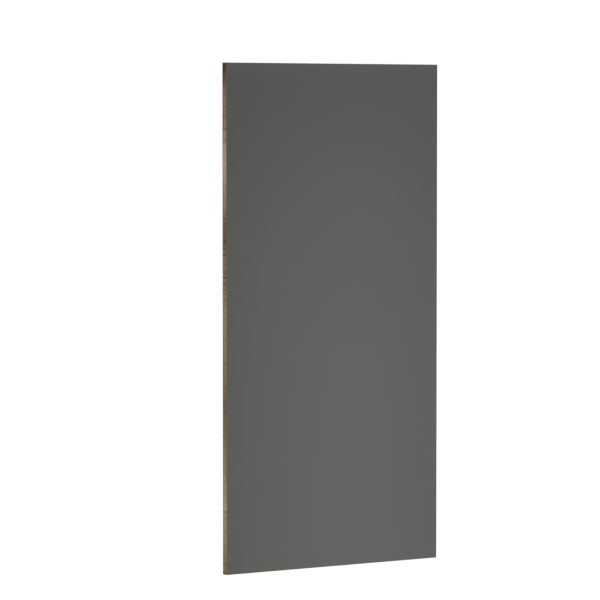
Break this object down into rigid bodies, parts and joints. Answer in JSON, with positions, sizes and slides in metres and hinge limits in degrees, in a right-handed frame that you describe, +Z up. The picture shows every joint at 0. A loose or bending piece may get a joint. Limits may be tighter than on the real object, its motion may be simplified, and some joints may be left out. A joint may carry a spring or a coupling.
{
  "type": "decorative laminate sheet",
  "caption": "Flat rectangular full-size sheet with a plain matt dark grey decorative laminate bonded to one face of a thick brown wood core, bare at its sawn edges and back.",
  "frame": {"origin": "middle of the sheet's bare back, which lies on the floor", "axes": "+X across the width, +Y along the length, towards the end that the picture shows at the top, +Z up through the thickness to the laminate's face"},
  "size_m": [1.2192, 2.4384, 0.038],
  "materials": {
    "laminate": "matte",
    "wood_core": "matte"
  },
  "bodies": {
    "root": {"laminate_face": "laminate", "core_board": "wood_core"}
  },
  "joints": []
}
